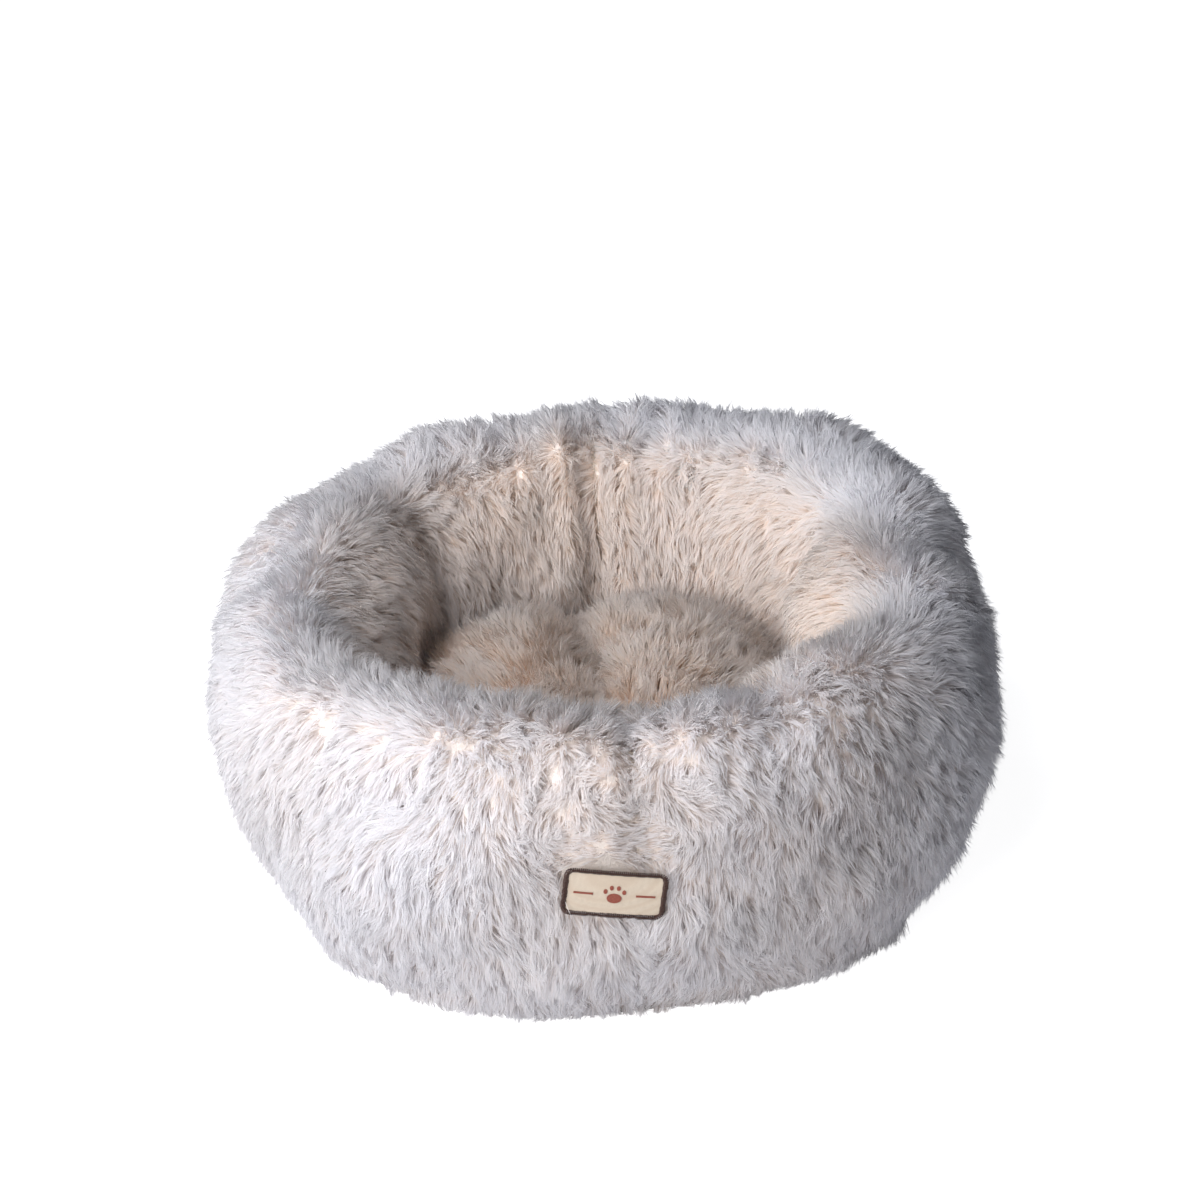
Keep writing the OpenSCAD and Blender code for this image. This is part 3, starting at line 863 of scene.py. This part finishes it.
# ---- cushion pile
CUSHION_STRANDS = 72000
CUSHION_LENGTH, CUSHION_WIDTH = 0.0205, 0.00078
cn = grid_frame(cush)[0]
if np.mean(cn[:, CM - 8, 2]) < 0:
    cn = -cn
c_weight = (step(CV, cv[seam_row] - 0.005, cv[seam_row] + 0.02)
            * (0.35 + 0.65 * step(cush[..., 2], 0.10, 0.125)))
ca, cb = scatter(cush, c_weight, CUSHION_STRANDS // PER)
cb = np.minimum(cb, CM - 1.01)
base = bilinear(cush, ca, cb)
nn = unit(bilinear(cn, ca, cb))
mc = len(base)
centre = np.array([0.018, 0.0, 0.0])
radial = base - centre
radial[:, 2] = 0
turn = (70 * Waves(41, 0.085)(base) + 45 * Waves(42, 0.035)(base) + RNG.normal(0, 16, mc)) * RAD
cx, sx = np.cos(turn), np.sin(turn)
radial = unit(radial)
comb = np.stack([radial[:, 0] * cx - radial[:, 1] * sx,
                 radial[:, 0] * sx + radial[:, 1] * cx, 0 * cx], -1)
comb = unit(comb - nn * np.sum(comb * nn, -1, keepdims=True))
lean0 = (12 + 10 * Waves(43, 0.018)(base)) * RAD
lean1 = np.clip(38 + 16 * Waves(44, 0.02)(base) + RNG.normal(0, 10, mc), 5, 80) * RAD
length = CUSHION_LENGTH * (1 + RNG.normal(0, 0.12, mc))
# The tint is warmer and darker towards the left and down the middle by the valley. This is painted
# shade.
tint = (0.55 + 0.22 * Waves(45, 0.06)(base) + 0.18 * step(-base[:, 0], -0.01, 0.06)
        + 0.15 * bump(base[:, 0], 0.02))
line, sd, tints, wide, soft = strands(base, nn, comb, lean0, lean1, length, tint, PER,
                                      0.0030 * RNG.uniform(0.7, 1.3, mc),
                                      np.clip(0.68 + 0.1 * RNG.normal(0, 1, mc), 0.35, 0.95),
                                      np.abs(RNG.normal(0.07, 0.03, mc)), CUSHION_WIDTH,
                                      np.full(mc, 0.10))
line = clamp_floor(line, under_z)
c_order = np.argsort(line[:, 0, 0], kind="stable")
for k, idx in enumerate(np.array_split(c_order, 2)):
    pile_object(f"cushion_pile_{k + 1}", line[idx], sd[idx], tints[idx], wide[idx], soft[idx],
                cushion_pile, "cushion")


# ---------------------------------------------------------------- seams
def tube(name, paths, radius, mat, body, nodes, closed=False):
    """Six-sided threads along polylines, joined in one mesh."""
    sides = 6
    verts, quads, count = [], [], 0
    ring_t = np.arange(sides) * 2 * math.pi / sides
    for p in paths:
        p = np.asarray(p, float)
        tan = unit(np.roll(p, -1, 0) - np.roll(p, 1, 0)) if closed else unit(np.gradient(p, axis=0))
        ref = np.where(np.abs(tan[:, 2:3]) > 0.9, [[1.0, 0, 0]], [[0, 0, 1.0]])
        a = unit(np.cross(tan, ref))
        b = np.cross(tan, a)
        circle = (a[:, None] * np.cos(ring_t)[None, :, None]
                  + b[:, None] * np.sin(ring_t)[None, :, None])
        verts.append((p[:, None] + circle * radius).reshape(-1, 3))
        quads.append(grid_quads(len(p), sides, closed, True) + count)
        if not closed:
            ends = [count + np.arange(sides)[::-1], count + (len(p) - 1) * sides + np.arange(sides)]
            for e in ends:
                quads.append(np.array([e[[0, 1, 2, 3]], e[[3, 4, 5, 0]]]))
        count += len(p) * sides
    ob = mesh_object(name, np.vstack(verts), quads)
    dress(ob, mat)
    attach(ob, body)
    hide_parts(*nodes)
    return ob


THREAD_R = 0.0005


def seam_stitches(name, i_at, node):
    """Ladder stitches that draw the two covers together over an upright seam."""
    col, nrm, tan = ring[i_at % NT], wn[i_at % NT], wti[i_at % NT]
    paths = []
    for j in range(2, NU - 2):
        c = col[j] + nrm[j] * 0.0006
        paths.append([c - tan[j] * 0.0022, c + nrm[j] * 0.0007, c + tan[j] * 0.0022])
    paths.append([col[j] + nrm[j] * 0.0004 for j in range(NU)])
    return tube(name, paths, THREAD_R, cream_thread, "bed", [node])


seam_stitches("seam_thread_front", i_front, "wall_seam_front")
seam_stitches("seam_thread_back", i_back, "wall_seam_back")

# cushion side seam: overcast stitches round its edge
TURNS = 420             # overcast stitches round the edge
CORD_R = 0.0012         # the stitches wind round the edge at this radius
tt = np.linspace(0, 1, TURNS * 6, endpoint=False)
k = tt * CN
rc = bilinear(cush, k, np.full(len(k), float(seam_row)))
rn = unit(rc * [1, 1, 0])
ph = tt * TURNS * 2 * math.pi
coil = (rc + rn * (CORD_R * np.cos(ph))[:, None]
        + np.array([0, 0, 1.0]) * (CORD_R * np.sin(ph))[:, None])
tube("cushion_edge", [coil], THREAD_R, cream_thread, "cushion", ["cushion_seam"], closed=True)

# ---------------------------------------------------------------- base cloth with grip dots
BASE_NT, BASE_RINGS = 144, 24
bt = np.arange(BASE_NT) * 2 * math.pi / BASE_NT
edge = wall_surface(bt, np.full(BASE_NT, -foot_turn), 0.006)[:, :2]
share = np.linspace(0, 1, BASE_RINGS) ** 0.9
low = np.stack([edge[:, None, 0] * share, edge[:, None, 1] * share,
                np.full((BASE_NT, BASE_RINGS), 0.0008)], -1)
low[..., 2] += 0.0002 * np.clip(Waves(61, 0.05)(low), -1, 1) * (share < 0.99)
high = low[:, ::-1].copy()
high[..., 2] = base_hi.z
sheet = np.concatenate([low, high], 1)
base_ob = mesh_object("base_sheet", sheet, [grid_quads(BASE_NT, 2 * BASE_RINGS, True, False)])
tidy_mesh(base_ob)
dress(base_ob, base_weave)
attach(base_ob, "bed")
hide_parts("base_cloth")

DOT_PITCH = 0.017
DOT_MARGIN = 0.012      # bare cloth between the outermost dots and the edge
# the dots' turned outline from their top in the cloth to their worn underside: radius, height
DOT_OUTLINE = [(0.0024, 0.0010), (0.0023, 0.0004), (0.0015, 0.0001), (0.0006, 0.00002)]
dots = []
span_n = int(0.30 / DOT_PITCH)
for iy in range(-span_n, span_n + 1):
    for ix in range(-span_n, span_n + 1):
        x, y = (ix + 0.5 * (iy % 2)) * DOT_PITCH, iy * DOT_PITCH * 0.866
        lim = np.interp(math.atan2(y, x) % (2 * math.pi), np.append(bt, 2 * math.pi),
                        np.append(np.linalg.norm(edge, axis=1), np.linalg.norm(edge[0])))
        if math.hypot(x, y) < lim - DOT_MARGIN:
            dots.append((x, y))
dots = np.array(dots)
dn = 10                 # sides of a dot
da = np.arange(dn) * 2 * math.pi / dn
dv = np.concatenate([np.stack([r * np.cos(da), r * np.sin(da), np.full(dn, z)], -1)
                     for r, z in DOT_OUTLINE])
around, after = np.arange(dn), (np.arange(dn) + 1) % dn
dq = np.concatenate([np.stack([q * dn + around, q * dn + after,
                               (q + 1) * dn + after, (q + 1) * dn + around], -1)
                     for q in range(3)])
last = 3 * dn + np.arange(dn)
end_caps = np.array([last[[0, k, k + 1, k + 2]] for k in (1, 3, 5, 7)])
top_caps = np.array([around[[0, k + 2, k + 1, k]] for k in (1, 3, 5, 7)])
dqs = np.concatenate([dq, end_caps, top_caps])
allv = (dv[None] + np.concatenate([dots, np.zeros((len(dots), 1))], 1)[:, None]).reshape(-1, 3)
allq = (dqs[None] + (np.arange(len(dots)) * len(dv))[:, None, None]).reshape(-1, 4)
dot_ob = mesh_object("base_grip_dots", allv, [allq])
tidy_mesh(dot_ob)
dress(dot_ob, grip_rubber)
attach(dot_ob, "bed")

# ---------------------------------------------------------------- looks of the CAD's own pieces
for node, mat in (("label_patch", label_weave), ("label_emblem", red_thread),
                  ("floor_lining", lining_weave), ("floor_wadding", fibre),
                  ("base_seam", seam_cloth), ("floor_seam", seam_cloth)):
    dress(nodes[node], mat)


# ---------------------------------------------------------------- the label's overlocked edge
def label_ring_path():
    """Middle line of the label's border, upright, with the distance along it."""
    w, h, r = LABEL_HALF_W - LABEL_CORNER, LABEL_HALF_H - LABEL_CORNER, LABEL_CORNER - LABEL_INSET
    pts = []
    for cx_, cz_, a0 in ((w, h, 0), (-w, h, 90), (-w, -h, 180), (w, -h, 270)):
        for a in np.linspace(a0, a0 + 90, 8):
            pts.append((cx_ + r * math.cos(a * RAD), cz_ + r * math.sin(a * RAD)))
    closed = np.array(pts + pts[:1])
    seg = np.linalg.norm(np.diff(closed, axis=0), axis=1)
    return closed, np.concatenate([[0], np.cumsum(seg)])


def label_face_y(x, z):
    """Front of the label cloth at a place seen from the front, from the CAD patch's own points."""
    co = co_of(nodes["label_patch"])
    d2 = (co[None, :, 0] - x[:, None]) ** 2 + (co[None, :, 2] - z[:, None]) ** 2
    idx = np.argsort(d2, axis=1)[:, :6]
    return co[idx, 1].min(1)


LOOPS = 150             # overlock stitches round the label
STITCH_ACROSS, STITCH_OUT, OVERLOCK_R = 0.00150, 0.00075, 0.00042
closed_path, cum = label_ring_path()
border = co_of(nodes["label_border"])
c_lab = (border.max(0) + border.min(0)) / 2
along = np.linspace(0, cum[-1], LOOPS * 10, endpoint=False)
px = np.interp(along, cum, closed_path[:, 0])
pz = np.interp(along, cum, closed_path[:, 1])
gx = np.gradient(px)
gz = np.gradient(pz)
gl = np.hypot(gx, gz)
ox, oz = gz / gl, -gx / gl
ph = along / cum[-1] * LOOPS * 2 * math.pi
wob = 1 + 0.12 * np.sin(ph * 0.137 + 1) + 0.08 * np.sin(ph * 0.31)
across = STITCH_ACROSS * np.cos(ph) * wob
out = STITCH_OUT * np.sin(ph)
lx2 = px + ox * across
lz2 = pz + oz * across
rx = lx2 * math.cos(LABEL_TILT) - lz2 * math.sin(LABEL_TILT)
rz = lx2 * math.sin(LABEL_TILT) + lz2 * math.cos(LABEL_TILT)
sample = np.linspace(0, len(along) - 1, 80).astype(int)
fy = label_face_y((rx + c_lab[0])[sample], (rz + c_lab[2])[sample])
fy = np.interp(np.arange(len(along)), sample, fy)
coil = np.stack([rx + c_lab[0], fy - 0.0002 - out, rz + c_lab[2]], -1)
tube("label_overlock", [coil], OVERLOCK_R, brown_thread, "bed", ["label_border"],
     closed=True)

# ---------------------------------------------------------------- stage
floor = mesh_object("floor", np.array([[-6, -6, 0], [6, -6, 0], [6, 6, 0], [-6, 6, 0]], float),
                    [np.array([[0, 1, 2, 3]])])
floor_mat, fnt, fb = material("floor_pale", (0.93, 0.93, 0.935), rough=0.9, spec=0.1)
fcol = noise_node(fnt, 3.0, 2.0, 0.5, object_coords(fnt))
framp = ramp_node(fnt, [(0.3, (0.76, 0.76, 0.78)), (0.7, (0.79, 0.79, 0.81))])
fnt.links.new(fcol, framp.inputs["Fac"])
fnt.links.new(framp.outputs["Color"], fb.inputs["Base Color"])
fb.inputs["Emission Color"].default_value = (1, 1, 1, 1)
seen = fnt.nodes.new("ShaderNodeLightPath")
glow = fnt.nodes.new("ShaderNodeMath")
glow.operation = "MULTIPLY_ADD"
glow.inputs[1].default_value = 0.86
glow.inputs[2].default_value = 0.06
fnt.links.new(seen.outputs["Is Camera Ray"], glow.inputs[0])
fnt.links.new(glow.outputs[0], fb.inputs["Emission Strength"])
dress(floor, floor_mat)
floor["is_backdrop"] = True

world = bpy.data.worlds.new("studio")
bpy.context.scene.world = world
world.use_nodes = True
wnt = world.node_tree
bg = wnt.nodes["Background"]
bg.inputs["Color"].default_value = (0.82, 0.87, 1.0, 1)
bg.inputs["Strength"].default_value = 0.06
# behind the floor's edge the camera sees the same pale tone as the floor
wall_bg = wnt.nodes.new("ShaderNodeBackground")
wall_bg.inputs["Color"].default_value = (0.95, 0.95, 0.955, 1)
world_path = wnt.nodes.new("ShaderNodeLightPath")
world_mix = wnt.nodes.new("ShaderNodeMixShader")
wnt.links.new(world_path.outputs["Is Camera Ray"], world_mix.inputs["Fac"])
wnt.links.new(bg.outputs["Background"], world_mix.inputs[1])
wnt.links.new(wall_bg.outputs["Background"], world_mix.inputs[2])
wnt.links.new(world_mix.outputs["Shader"], wnt.nodes["World Output"].inputs["Surface"])


def area_light(name, place, aim, size, energy, color):
    data = bpy.data.lights.new(name, "AREA")
    data.shape = "RECTANGLE"
    data.size, data.size_y = size
    data.energy = energy
    data.color = color
    ob = bpy.data.objects.new(name, data)
    bpy.context.scene.collection.objects.link(ob)
    ob.location = place
    ob.rotation_euler = (Vector(aim) - Vector(place)).to_track_quat("-Z", "Y").to_euler()
    return ob


area_light("side", (-2.35, -0.60, 0.95), (0, 0, 0.10), (1.1, 1.1), 17, (0.99, 0.985, 1.0))
area_light("front", (-1.20, -2.15, 1.30), (0, 0, 0.10), (1.0, 1.0), 48, (1.0, 0.985, 0.99))
area_light("top", (-0.8, -0.9, 2.2), (0, 0, 0.10), (1.1, 1.1), 30, (0.93, 0.945, 1.0))

cam_data = bpy.data.cameras.new("camera")
cam_data.sensor_width = 36
cam_data.lens = 87
camera = bpy.data.objects.new("camera", cam_data)
bpy.context.scene.collection.objects.link(camera)
bpy.context.scene.camera = camera
ELEV, DIST = 30.8 * RAD, 2.115
centre = Vector((0, 0, 0.125))
eye = centre + Vector((0, -DIST * math.cos(ELEV), DIST * math.sin(ELEV)))
look = (centre - eye).to_track_quat("-Z", "Y").to_matrix()
look = look @ Matrix.Rotation(1.88 * RAD, 3, "X") @ Matrix.Rotation(-2.5 * RAD, 3, "Z")
camera.matrix_world = Matrix.Translation(eye) @ look.to_4x4()
cam_data.clip_end = 50

bpy.context.scene.view_settings.view_transform = "Standard"

end_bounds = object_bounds()


def plain(b):
    return [[float(x) for x in row] if hasattr(row, "__len__") else float(row) for row in b]


{"start": plain(start_bounds), "end": plain(end_bounds)}
